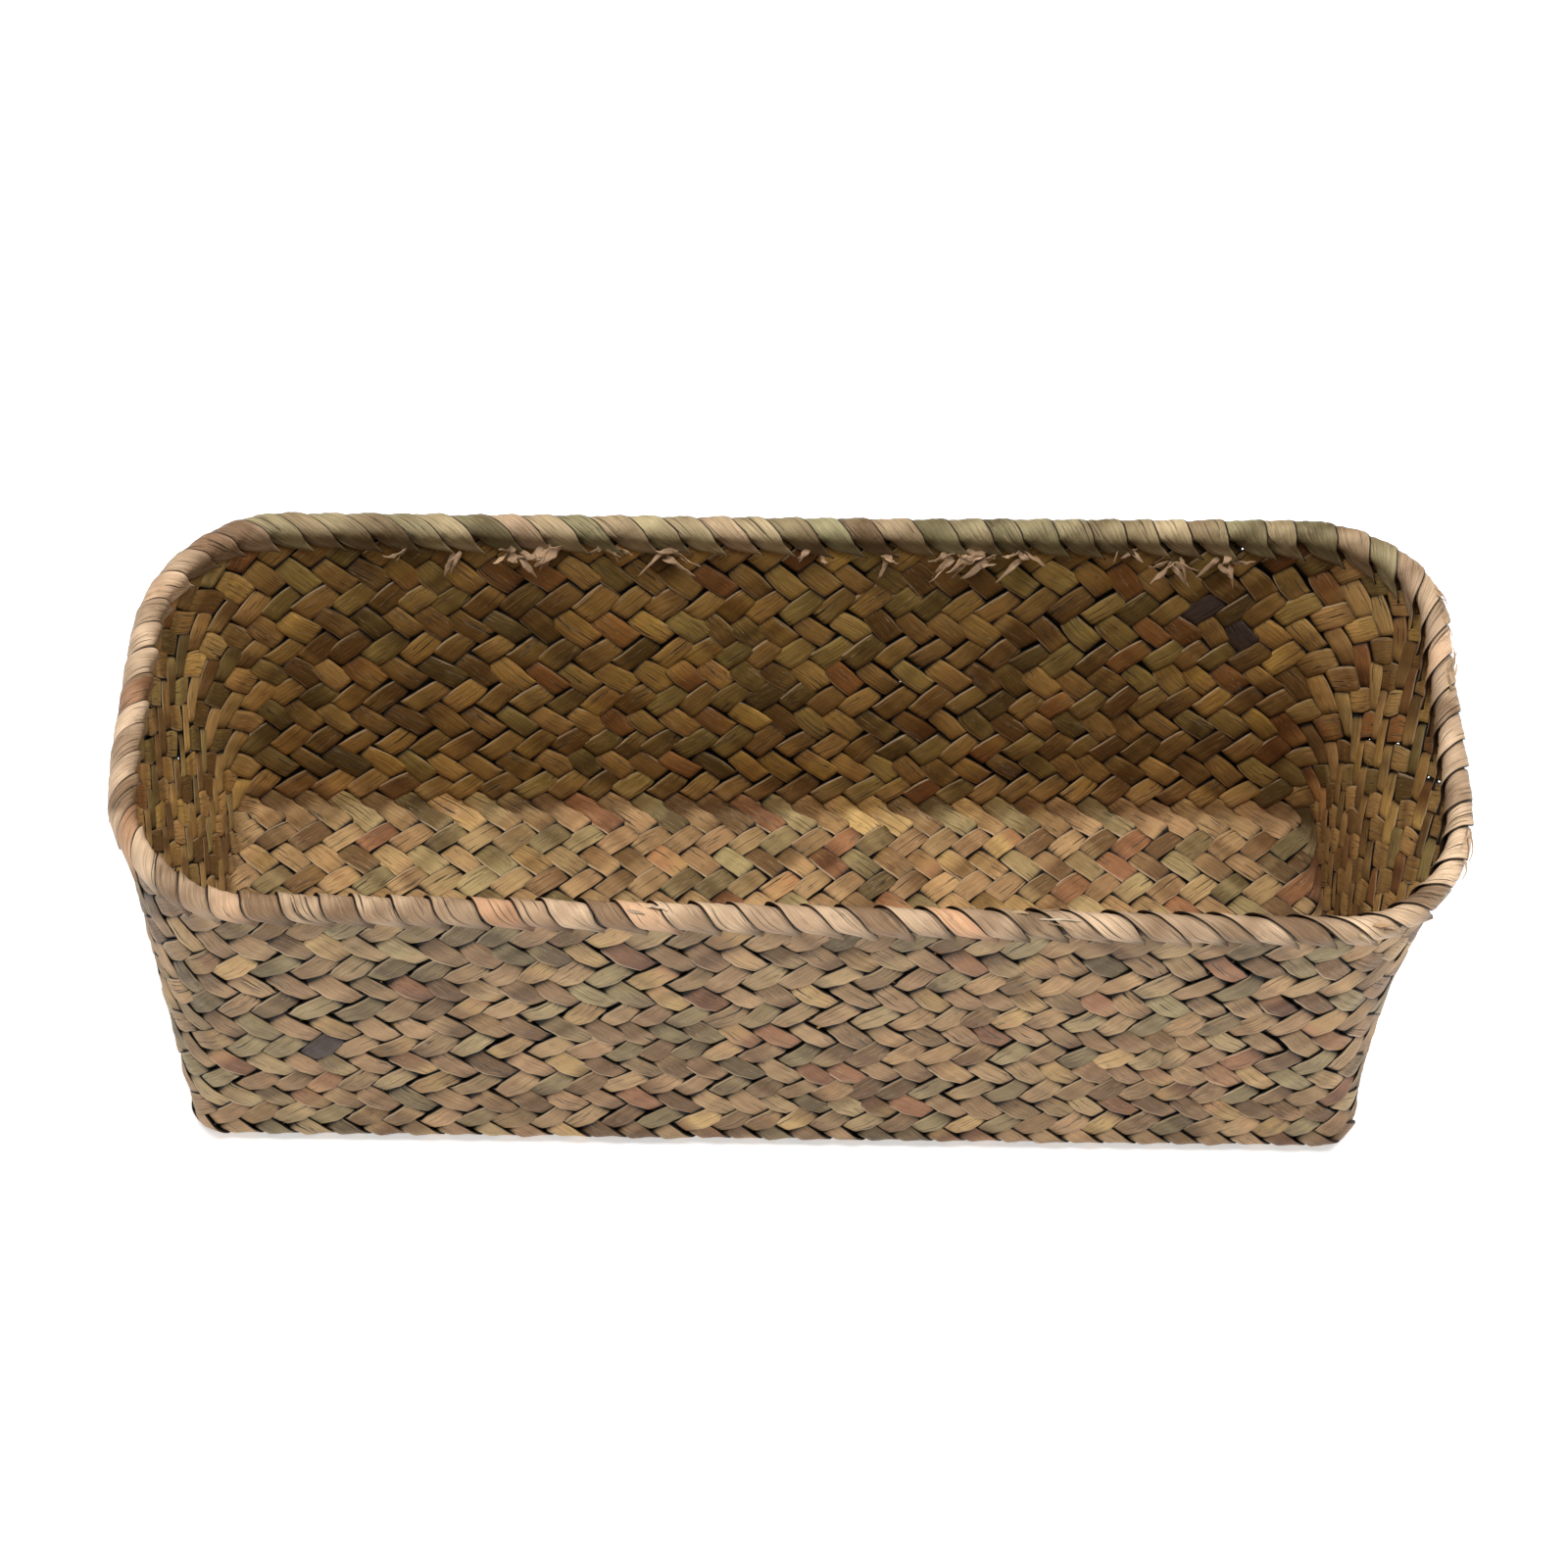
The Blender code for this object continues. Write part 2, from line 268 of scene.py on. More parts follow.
def floor_mat(x, y):
    """The middle of the weave on the base, x and y in pitches."""
    flat_x, flat_y = FLAT_X / (HALF_LONG - FOLD_HALF), FLAT_Y / (HALF_SHORT - FOLD_HALF)
    return np.stack([x * flat_x, y * flat_y, np.full_like(x, FOLD_Z - FOLD)], -1)


def unit(v):
    """Vectors divided by their own lengths."""
    return v / np.maximum(np.linalg.norm(v, axis=-1, keepdims=True), 1e-9)


def blur(values, reach):
    """Running mean with a bell weight, ends kept."""
    k = np.exp(-0.5 * (np.arange(-3 * reach, 3 * reach + 1) / reach) ** 2)
    k /= k.sum()
    padded = np.pad(values, ((3 * reach, 3 * reach), (0, 0)), mode="reflect", reflect_type="odd")
    return np.stack([np.convolve(padded[:, i], k, "valid") for i in range(values.shape[1])], -1)


ACROSS = np.array([-1.0, -0.9, -0.55, 0.0, 0.55, 0.9, 1.0, 0.9, 0.55, 0.0, -0.55, -0.9])
SIDE = np.array([0.0, 1.0, 1.0, 1.0, 1.0, 1.0, 0.0, -1.0, -1.0, -1.0, -1.0, -1.0])
DOME = SIDE * (1.0 - np.abs(ACROSS) ** 6) ** 0.5


def ribbon(centre, normal, width, thick, roll):
    """Rings of a flat strand: its section, (1 - u^6)^0.5 thick, carried along its centre line."""
    along = unit(np.gradient(centre, axis=0))
    normal = unit(normal - along * np.sum(normal * along, -1, keepdims=True))
    across = np.cross(along, normal)
    c, s = np.cos(roll)[:, None], np.sin(roll)[:, None]
    normal, across = normal * c + across * s, across * c - normal * s
    lens = DOME[None, :, None] * (thick / 2)[:, None, None] * normal[:, None, :]
    flat = ACROSS[None, :, None] * (width / 2)[:, None, None] * across[:, None, :]
    return centre[:, None, :] + flat + lens


def strand_path(family, c):
    """One mat strand from rim to rim. family 1 follows x + y = c on the base, family -1 x - y = c.
    Gives the sample points s, the surface there, how far out of it each crossing lies, and whether
    each end is a rising-left strand of its wall."""
    full = HALF_LONG - HALF_SHORT
    if family == 1:
        start = (c + HALF_SHORT, -HALF_SHORT) if c <= full else (HALF_LONG, c - HALF_LONG)
        end = (c - HALF_SHORT, HALF_SHORT) if c >= -full else (-HALF_LONG, c + HALF_LONG)
    else:
        start = (c - HALF_SHORT, -HALF_SHORT) if c >= -full else (-HALF_LONG, -HALF_LONG - c)
        end = (c + HALF_SHORT, HALF_SHORT) if c <= full else (HALF_LONG, HALF_LONG - c)
    travel = end[1] - start[1]
    k = np.arange(round(2 * (travel + 2 * TOP_M)) * SAMPLES + 1)
    s = k / (2 * SAMPLES) - TOP_M
    ends = []
    for (x, y), level in ((start, -s), (end, s - travel)):
        if abs(x) == HALF_LONG:
            side_n = LONG + y + HALF_SHORT if x > 0 else 2 * LONG + SHORT + HALF_SHORT - y
            rising = -family
        else:
            side_n = x + HALF_LONG if y < 0 else LONG + SHORT + HALF_LONG - x
            rising = family
        ends.append((side_n + rising * level, level, rising))
    base = floor_mat(start[0] - family * s, start[1] + s)
    surface = np.where((s < -FOLD_HALF)[:, None], wall(ends[0][0], ends[0][1]), base)
    near = (s >= -FOLD_HALF) & (s < FOLD_HALF)
    surface[near] = wall(ends[0][0][near], ends[0][1][near])
    far = s > travel - FOLD_HALF
    surface[far] = wall(ends[1][0][far], ends[1][1][far])
    steps = np.arange(round(-2 * TOP_M), round(2 * (travel + TOP_M)) + 1) / 2
    out = np.where(np.mod(-HALF_SHORT - (start[1] + steps), 2) < UNDER, -1.0, 1.0) * family
    for mask, level, rising in (
        (steps <= 0, -steps, ends[0][2]),
        (steps >= travel, steps - travel, ends[1][2]),
    ):
        out = np.where(mask, np.where(np.mod(level, 2) < UNDER, -1.0, 1.0) * rising, out)
    return s, travel, surface, out, ends


def strand(family, c, seed):
    """A whole strand: its rings and what its finish needs to know at every ring. It stands off the
    middle of the weave by lift, which eases from one crossing's side to the next one's and bulges
    as sin^2 along a float, and seeded noise strays it sideways, outwards, in size and in roll."""
    s, travel, surface, out, ends = strand_path(family, c)
    t = np.clip(2 * (s + TOP_M), 0, len(out) - 1.001)
    k = t.astype(int)
    f = t - k
    here, there = out[k], out[k + 1]
    lift = here + (there - here) * smooth(f, *CROSSING)
    same = here == there
    swell = np.sin(math.pi * f) ** 2
    lift = lift + np.where(same, np.where(here > 0, BULGE_OUT, BULGE_IN) * here * swell, 0.0)
    rng = np.random.default_rng(seed)

    def stray(how, step):
        amount, rate = how
        return amount * noise(s * rate, seed + step)

    # A float's lower end on the outside is drawn in like a tongue as it goes under.
    turns = np.arange(len(out) - 1)
    place = turns / 2 - TOP_M
    dives = turns[(out[1:] != out[:-1]) & np.where(place < travel / 2, out[:-1] > 0, out[1:] > 0)]
    dives = np.where(dives / 2 - TOP_M < travel / 2, dives + TONGUE_AT[0], dives + TONGUE_AT[1])
    tongue = np.exp(-(((t[:, None] - dives[None, :]) / TONGUE_REACH) ** 2)).max(1)
    run = np.concatenate([[0], np.cumsum(out[1:] != out[:-1])])
    own = rng.uniform(-1, 1, run[-1] + 1)[run]
    for n0, m0, face in STAINED:
        for n, m, _ in ends:
            apart = np.mod(n - n0 + AROUND / 2, AROUND) - AROUND / 2
            gap = np.where(lift * face < 0.9, AROUND, np.hypot(apart, m - m0))
            if gap.min() < STAIN_REACH:
                own[run == run[k[gap.argmin()]]] = STAIN_MARK
    cell = own[k] + (own[k + 1] - own[k]) * smooth(f, 0.35, 0.65)
    surface = blur(surface, 2)
    along = unit(np.gradient(surface, axis=0))
    normal = np.zeros_like(surface)
    for mask, (n, m, _) in (
        (s < FOLD_HALF, ends[0]),
        (s > travel - FOLD_HALF, ends[1]),
    ):
        normal[mask] = wall_out(n[mask], m[mask])
    flat = (s >= FOLD_HALF) & (s <= travel - FOLD_HALF)
    normal[flat] = (0.0, 0.0, -1.0)
    normal = unit(blur(normal, 3))
    across = np.cross(along, normal)
    centre = surface + normal * (OFFSET * lift * (1 + stray(STRAY_OUT, 5)))[:, None]
    centre = centre + stray(STRAY_SIDE, 3)[:, None] * across
    local = STRAND_WIDTH * (0.97 + WIDTH_SPREAD * rng.uniform(-1, 1)) * (1 + stray(STRAY_WIDTH, 0))
    rise = np.clip(surface[:, 2] / HEIGHT, 0, 1)
    width = local * (0.97 + 0.10 * rise) * (1 - TONGUE_PINCH * tongue)
    width = width * np.where(same, 1 + 0.04 * swell, 1.0)
    thick = STRAND_THICK * (1 + stray(STRAY_THICK, 9)) * np.where(same, 1.0, 1 - 0.12 * swell)
    roll = stray(STRAY_ROLL, 11)
    points = ribbon(centre, normal, width, thick, roll)
    return points, s, lift, cell, rng.uniform(), ends


FACTS = ("tone", "across", "lift", "seed", "along", "sheltered", "cell")


def grass_mesh(name, strands):
    """One mesh of many strands. Each is (rings, distance along in pitches, lift, cell, tone, seed):
    neighbouring rings are joined by quads and each end is closed by one face."""
    verts, faces, uvs, facts, ends = [], [], [], [], []
    start = 0
    size = len(ACROSS)
    for rings, s, lift, cell, tone, seed in strands:
        count = len(rings)
        verts.append(sag(rings).reshape(-1, 3))
        i, j = np.meshgrid(np.arange(count - 1), np.arange(size), indexing="ij")
        a = start + i * size + j
        b = start + i * size + (j + 1) % size
        quads = np.stack([a, a + size, b + size, b], -1).reshape(-1, 4)
        faces.append(quads)
        u = (s - s[0]) * PITCH * math.sqrt(2) / 10
        u0, u1 = u[i], u[i + 1]
        v0, v1 = j / size, (j + 1) / size
        uvs.append(np.stack([u0, v0, u1, v0, u1, v1, u0, v1], -1).reshape(-1, 2))
        one = np.ones((count, size))
        facts.append(np.stack([
            # lift is signed for each face and 0 on the edges, so the shader's painted shade falls on the
            # edges and where a strand dips under.
            one * tone, one * ACROSS, one * (lift[:, None] * np.where(SIDE == 0, 0, SIDE)),
            one * seed, one * (s * PITCH * math.sqrt(2))[:, None],
            # Painted shade on a wall's inner side, growing with height and less at the ends of the basket.
            np.where(SIDE < 0, 1.0, 0.0)
            * (INNER_SHADE_FOOT + INNER_SHADE_GAIN * smooth(rings[..., 2], *INNER_SHADE_HEIGHTS))
            * (1.0 - INNER_SHADE_LOST * smooth(np.abs(rings[..., 0]), *INNER_SHADE_ENDS)),
            one * np.broadcast_to(cell, s.shape)[:, None],
        ], -1).reshape(-1, len(FACTS)))
        ends.append(np.arange(start, start + size))
        start += count * size
        ends.append(np.arange(start - size, start)[::-1])
    verts = np.concatenate(verts) * 0.001
    quads = np.concatenate(faces)
    uvs = np.concatenate(uvs)
    facts = np.concatenate(facts)
    caps = np.stack(ends)
    mesh = bpy.data.meshes.new(name)
    mesh.vertices.add(len(verts))
    mesh.vertices.foreach_set("co", verts.ravel())
    loops = np.concatenate([quads.ravel(), caps.ravel()])
    mesh.loops.add(len(loops))
    mesh.loops.foreach_set("vertex_index", loops.astype(np.int32))
    sizes = np.concatenate([np.full(len(quads), 4), np.full(len(caps), size)])
    mesh.polygons.add(len(sizes))
    mesh.polygons.foreach_set("loop_start", np.concatenate([[0], np.cumsum(sizes)[:-1]]).astype(np.int32))
    mesh.update(calc_edges=True)
    mesh.validate()
    layer = mesh.uv_layers.new(name="strand")
    whole = np.concatenate([uvs, np.zeros((caps.size, 2))])
    layer.data.foreach_set("uv", whole.ravel().astype(np.float32))
    for index, label in enumerate(FACTS):
        attribute = mesh.attributes.new(label, "FLOAT", "POINT")
        attribute.data.foreach_set("value", facts[:, index].astype(np.float32))
    mesh.shade_smooth()
    made = bpy.data.objects.new(name, mesh)
    bpy.context.scene.collection.objects.link(made)
    return made


def rim_place(n, d, h):
    """A point on the lapped rim. d runs up the outside lip, round the core and down the inside lip,
    which lean back onto the wall as 1 - e^(-down / 2); h lies above the middle of the laps."""
    arc = 2 * ROLL_R * WAIST
    theta = WAIST - np.clip(d - LIP, 0.0, arc) / ROLL_R
    down = np.maximum(LIP - d, 0.0) + np.maximum(d - LIP - arc, 0.0)
    lay = 1.0 - np.exp(-down / 2.0)
    out = (ROLL_R + h) * np.sin(theta) * (1 - lay) + np.sign(theta) * (LIP_STAND + h) * lay
    z = CORE_Z + (ROLL_R + h) * np.cos(theta) - down
    share, a, b, rho = section(z)
    x, y = ring(n, a + out, b + out, rho + out, CORNER_DRIFT * share, 0.0)
    return np.stack([x, y, z], -1)


def rim_lap(n0, seed):
    """A strand end lapped over the core: a flat band along a helix that keeps to the roll both ways,
    each lap's lower edge lying on its neighbour. Its outer end sweeps on into a point."""
    rng = np.random.default_rng(seed)
    d = np.linspace(0.0, LAP_ROUND, LAP_RINGS)
    left = LAP_ROUND - d
    n = n0 + 0.10 * rng.uniform(-1, 1) - LAP_LEAN * (d - 0.2 * LIP) / PITCH
    n = n + SWEEP_ON[0] * np.clip(1 - d / SWEEP_ON[1], 0, 1) ** 2
    n = n - SWEEP_BACK[0] * np.clip(1 - left / SWEEP_BACK[1], 0, 1) ** 2
    pace = np.linalg.norm(rim_place(n + 0.05, d, 0.0) - rim_place(n - 0.05, d, 0.0), axis=-1) / 0.1
    step = np.stack([np.gradient(n) * pace, np.gradient(d)], -1)
    step = unit(step)
    taper = smooth(d, *TAPER_OUT) * smooth(left, *TAPER_IN)
    half = LAP_WIDTH / 2 * (1 + WIDTH_SPREAD * rng.uniform(-1, 1))
    half = half * (1 + 0.03 * noise(d * 0.4, seed + 1)) * taper
    flare = STAND_OUT[0] + STAND_OUT[1] * rng.uniform() ** 4
    stand = 0.10 * noise(d * 0.35, seed + 2) + flare * np.clip(1 - d / 5.0, 0, 1) ** 2
    stand = stand + (STAND_IN[0] + STAND_IN[1] * rng.uniform()) * np.clip(1 - left / 6.0, 0, 1)
    grid_n = n[:, None] + (half * step[:, 1] / pace)[:, None] * ACROSS
    grid_d = d[:, None] - (half * step[:, 0])[:, None] * ACROSS
    grid_h = stand[:, None] - LAP_SHINGLE * ACROSS + LAP_THICK / 2 * DOME
    # Painted shade: a lap darkens towards the tip of its outer end, over its first 4.5 mm.
    painted_lap_shade = 0.80 + 0.20 * smooth(d, 0.0, 4.5)
    return rim_place(grid_n, grid_d, grid_h), d / (PITCH * math.sqrt(2)), painted_lap_shade, rng.uniform(-1, 1)


def core_stem(phase, seed):
    """One stem of the bundle inside the rim: a rod that turns slowly about the core's middle."""
    n = np.linspace(0.0, AROUND + 2.0, STEM_RINGS)
    turn = phase + n * STEM_TURN
    middle = rim_place(n, np.full_like(n, LAP_ROUND / 2), -ROLL_R)
    along = unit(np.gradient(middle, axis=0))
    up = np.array([0.0, 0.0, 1.0]) * np.ones_like(middle)
    across = np.cross(along, up)
    centre = middle + STEM_REACH * (np.cos(turn)[:, None] * up + np.sin(turn)[:, None] * across)
    thick = STEM_THICK * (1 + 0.08 * noise(n * 0.3, seed))
    # A lift of 0.6 gives the core some of the painted shade that the shader puts where a strand dips under.
    return ribbon(centre, up, thick, thick, turn), n, np.full_like(n, 0.6), 0.0


def shred(place, start, run, stand, width, seed):
    """A torn strip that leaves a surface at start: it goes along by run, down as v^1.6, and off the
    surface as sin(2 v), with noise added, while its width thins as 1 - 0.85 v^1.8."""
    rng = np.random.default_rng(seed)
    v = np.linspace(0.0, 1.0, SHRED_RINGS)
    n = start[0] + run[0] * v
    d = start[1] + run[1] * v**1.6 + 0.03 * abs(run[0]) * noise(v * 4, seed)
    h = start[2] + stand * np.sin(2.0 * v) + 0.12 * stand * noise(v * 5, seed + 1)
    centre = place(n, d, h)
    out = unit(place(n, d, h + 0.1) - centre)
    broad = width * (1 - 0.85 * v**1.8) * (0.55 + 0.45 * smooth(v, 0.0, 0.25))
    broad = broad * (1 + 0.2 * noise(v * 6, seed + 2))
    roll = rng.uniform(-0.7, 0.7) + 1.3 * noise(v * 1.6, seed + 3)
    strip = ribbon(centre, out, broad, np.full_like(v, SHRED_THICK), roll)
    length = abs(run[0]) * v * 0.7
    # A lift of 1 leaves one face of the strip clear and gives the other face, and the edges, the shader's
    # painted shade colour.
    return strip, length, np.ones_like(v), rng.uniform(-1, 1), rng.uniform(0.3, 1.0), rng.uniform()


class Wire:
    """A shader value that can be used in sums; every operator adds one Math node."""

    def __init__(self, tree, socket):
        self.tree, self.socket = tree, socket

    def math(self, operation, *others):
        return node(self.tree, "ShaderNodeMath", {"operation": operation},
                    {i: v for i, v in enumerate((self, *others))})

    def __add__(self, other):
        return self.math("ADD", other)

    def __mul__(self, other):
        return self.math("MULTIPLY", other)

    def __sub__(self, other):
        return self.math("SUBTRACT", other)

    def __rsub__(self, other):
        return node(self.tree, "ShaderNodeMath", {"operation": "SUBTRACT"}, {0: other, 1: self})

    __radd__, __rmul__ = __add__, __mul__


def node(tree, kind, settings=None, values=None, output=0):
    """A node of a kind: its settings first, then its sockets' values or links."""
    made = tree.nodes.new(kind)
    for key, value in (settings or {}).items():
        if key == "stops":
            ramp = made.color_ramp
            while len(ramp.elements) < len(value):
                ramp.elements.new(0.5)
            for element, (place, colour) in zip(ramp.elements, value):
                element.position = place
                element.color = (*colour, 1.0)
        else:
            setattr(made, key, value)
    for key, value in (values or {}).items():
        if isinstance(value, Wire):
            tree.links.new(value.socket, made.inputs[key])
        else:
            made.inputs[key].default_value = value
    return Wire(tree, made.outputs[output])


def srgb(r, g, b):
    """A colour given as 0-255 screen values, as linear light."""
    return tuple(((v / 255 + 0.055) / 1.055) ** 2.4 if v > 10 else v / 3294.6 for v in (r, g, b))


# The two ends of the grass's shades and of its streaks, a stained crossing's grey, and the gloss.
SHADE_DARK, SHADE_LIGHT = (0.47, 0.40, 0.33, 1.0), (1.42, 1.41, 1.36, 1.0)
STREAK_DARK, STREAK_LIGHT = (0.76, 0.73, 0.68, 1.0), (1.18, 1.18, 1.17, 1.0)
SLATE = (*srgb(64, 54, 54), 1.0)
GLOSS = 0.25
BUMP_STRENGTH, BUMP_HEIGHT = 0.9, 0.0007


def grass_material(name, stops, shade_and_mark_colour, inner_shade_tint, inner_shade_depth, highlight_tint, roughness):
    """Dried grass: a tone per strand that drifts along it, long fibres, cracks, stains, painted
    highlights along one edge and on crack lips, painted shade along the edges and where a strand
    dips under, and painted shade that darkens and browns a wall's inner side. Across runs from -1
    to 1 over a strand's width and along is in millimetres, so a noise with along scaled down and
    across up is drawn out into fibres. Every between() maps a range of a value onto a share."""
    made = bpy.data.materials.new(name)
    made.use_nodes = True
    tree = made.node_tree
    tree.nodes.clear()

    def fact(label):
        return node(tree, "ShaderNodeAttribute", {"attribute_name": label}, output=2)

    def grain(x, y, z, scale, detail, rough=0.6):
        place = node(tree, "ShaderNodeCombineXYZ", {}, {0: x, 1: y, 2: z})
        return node(tree, "ShaderNodeTexNoise", {}, {
            "Vector": place, "Scale": scale, "Detail": detail, "Roughness": rough})

    def between(value, low, high, start, end):
        return node(tree, "ShaderNodeMapRange", {}, {
            "Value": value, "From Min": low, "From Max": high, "To Min": start, "To Max": end})

    def mix(share, first, second, blend="MIX"):
        return node(tree, "ShaderNodeMix", {"data_type": "RGBA", "blend_type": blend},
                    {0: share, 6: first, 7: second}, output=2)

    tone, across, lift = fact("tone"), fact("across"), fact("lift")
    seed, along, sheltered = fact("seed"), fact("along"), fact("sheltered")
    # Noises. Each strand's seed moves it to grain of its own.
    streak = grain(along * 0.045, across * 2.6, seed * 37.0, 3.2, 5.0)
    fibre = grain(along * 0.02, across * 9.0, seed * 91.0, 2.2, 3.0, 0.7)
    crack = grain(along * 0.05, across * 5.0, seed * 23.0, 1.6, 1.0)
    drift = grain(along * 0.03, seed * 53.0, tone * 17.0, 1.0, 2.0)
    shade = grain(along * 0.06, seed * 131.0, tone * 29.0, 1.4, 2.0)
    stain = grain(along * 0.25, across * 1.2, seed * 71.0, 1.2, 4.0)
    cell = fact("cell")
    # The strand's tone, then painted shade on a wall's inner side, darker and browner.
    colour = node(tree, "ShaderNodeValToRGB", {"stops": stops},
                  {"Fac": tone + (drift - 0.5) * 0.6 + cell * 0.10 + (streak - 0.5) * 0.15})
    colour = mix(sheltered, colour, (*inner_shade_tint, 1.0), "MULTIPLY")
    colour = mix(between(sheltered, 0.6, 1.0, 0.0, 1.0), colour, (inner_shade_depth, inner_shade_depth, inner_shade_depth, 1.0), "MULTIPLY")
    # Darker and lighter floats, then streaks.
    worth = between(shade + cell * (0.09 + 0.05 * sheltered), 0.34, 0.66, 0.0, 1.0)
    value = mix(worth, SHADE_DARK, SHADE_LIGHT)
    colour = mix(1.0, colour, value, "MULTIPLY")
    light = mix(between(streak, 0.30, 0.70, 0.0, 1.0), STREAK_DARK, STREAK_LIGHT)
    colour = mix(1.0, colour, light, "MULTIPLY")
    # Painted highlights along one edge and on the lips of cracks, and stained crossings.
    split = between(crack, 0.66, 0.675, 0.0, 0.85) * between(across * across, 0.5, 0.8, 1.0, 0.0)
    pale = (between(across, 0.74, 0.86, 0.0, 0.75) * between(drift, 0.40, 0.60, 0.2, 1.0)
            + between(crack, 0.625, 0.65, 0.0, 0.5))
    colour = mix(pale, colour, (*highlight_tint, 1.0))
    colour = mix(between(cell, STAIN_MARK, STAIN_MARK / 2, 0.8, 0.0), colour, SLATE)
    # Dark: painted shade along the very edges and where the strand dips under, then blotches, fibres and
    # open cracks.
    painted_shade_and_marks = (between(across * across, 0.80, 0.95, 0.0, 0.9) + between(lift, 0.36, 0.98, 1.0, 0.0)
              + between(stain, 0.58, 0.74, 0.0, 0.35) + (0.5 - fibre) * 0.4 + split)
    colour = mix(node(tree, "ShaderNodeClamp", {}, {"Value": painted_shade_and_marks}), colour, (*shade_and_mark_colour, 1.0))
    height = streak * 0.7 + fibre * 0.5 - split * 0.6
    bump = node(tree, "ShaderNodeBump", {}, {
        "Height": height, "Strength": BUMP_STRENGTH, "Distance": BUMP_HEIGHT})
    shader = node(tree, "ShaderNodeBsdfPrincipled", {}, {
        "Base Color": colour, "Roughness": (1.0 - streak) * 0.3 + (roughness - 0.15),
        "Normal": bump, "Specular IOR Level": GLOSS})
    tree.links.new(shader.socket, tree.nodes.new("ShaderNodeOutputMaterial").inputs[0])
    return made


WEAVE_TONES = (
    (0.00, srgb(145, 130, 95)), (0.16, srgb(153, 134, 98)), (0.30, srgb(164, 135, 98)),
    (0.44, srgb(158, 128, 94)), (0.58, srgb(169, 135, 101)), (0.70, srgb(156, 131, 95)),
    (0.80, srgb(173, 138, 100)), (0.90, srgb(188, 158, 107)), (0.96, srgb(162, 121, 87)),
    (1.00, srgb(138, 97, 69)),
)
RIM_TONES = (
    (0.00, srgb(148, 140, 106)), (0.22, srgb(170, 154, 120)), (0.42, srgb(176, 150, 122)),
    (0.62, srgb(194, 167, 140)), (0.82, srgb(212, 184, 156)), (1.00, srgb(190, 148, 116)),
)
TORN_TONES = (
    (0.00, srgb(250, 228, 200)), (0.40, srgb(253, 238, 214)), (0.70, srgb(232, 186, 144)),
    (1.00, srgb(250, 226, 190)),
)

# Clumps of torn ends inside the back wall: x, how many, reach in pitches, stand off the wall, width.
CLUMPS = (
    (-98, 3, 0.5, 2.0, 2.2), (-84, 3, 0.5, 2.0, 2.0), (-71, 6, 0.7, 2.8, 3.0), (-61, 6, 0.8, 3.0, 3.4),
    (-46, 4, 0.5, 2.0, 2.0), (-30, 6, 0.9, 2.6, 2.2), (5, 3, 0.5, 2.0, 2.0), (26, 5, 0.7, 2.6, 2.6),
    (42, 7, 0.7, 3.0, 2.8), (50, 9, 0.9, 3.2, 3.2), (60, 5, 0.8, 3.0, 3.0), (86, 3, 0.5, 2.0, 2.2),
    (98, 6, 0.8, 3.0, 2.8), (112, 5, 0.6, 2.6, 2.6),
)
# Millimetres in a pitch along the back rim, the rows where shreds start and their depth inside.
BACK_PITCH = 8.9
SHRED_ROWS, SHRED_DEPTHS = (11.15, 11.55), (1.3, 2.2)
# Height of a torn fibre's root above the laps.
TEAR_ROOT = 0.35
# Torn fibres on the rim: n, distance round the roll, how many, run in pitches, stand, width.
RIM_TEARS = (
    (22.6, 6.5, 4, 1.1, 1.0, 1.0), (12.4, 6.5, 2, 0.8, 0.7, 0.8), (36.0, 5.0, 4, -0.9, 1.4, 0.9),
    (41.5, 6.0, 4, 0.9, 1.6, 0.9), (44.2, 6.5, 3, -0.8, 1.2, 0.9), (31.4, 4.0, 3, 0.9, 1.5, 1.2),
)


def loose_shreds():
    """All torn strips: clumps of them inside the back wall, and finer fibres on the rim."""
    made = []
    rng = np.random.default_rng(SHRED_SEED)
    for x, count, reach, stand, width in CLUMPS:
        n = LONG + SHORT + HALF_LONG - x / BACK_PITCH
        for _ in range(count):
            side = rng.choice((-1.0, 1.0))
            start = (n + rng.uniform(-0.35, 0.35), rng.uniform(*SHRED_ROWS), -rng.uniform(*SHRED_DEPTHS))
            run = (side * reach * rng.uniform(0.3, 1.1), rng.uniform(-0.9, 0.15))
            made.append(shred(wall_place, start, run, -stand * rng.uniform(0.4, 1.0),
                              width * rng.uniform(0.4, 1.0), int(rng.integers(9999))))
    for n, d, count, reach, stand, width in RIM_TEARS:
        for _ in range(count):
            start = (n + rng.uniform(-0.6, 0.6), d + rng.uniform(-1.5, 1.5), TEAR_ROOT)
            run = (reach * rng.uniform(0.3, 1.0), rng.uniform(-2.5, 1.0))
            made.append(shred(rim_place, start, run, stand * rng.uniform(0.2, 1.0),
                              width * rng.uniform(0.4, 1.0), int(rng.integers(9999))))
    return made


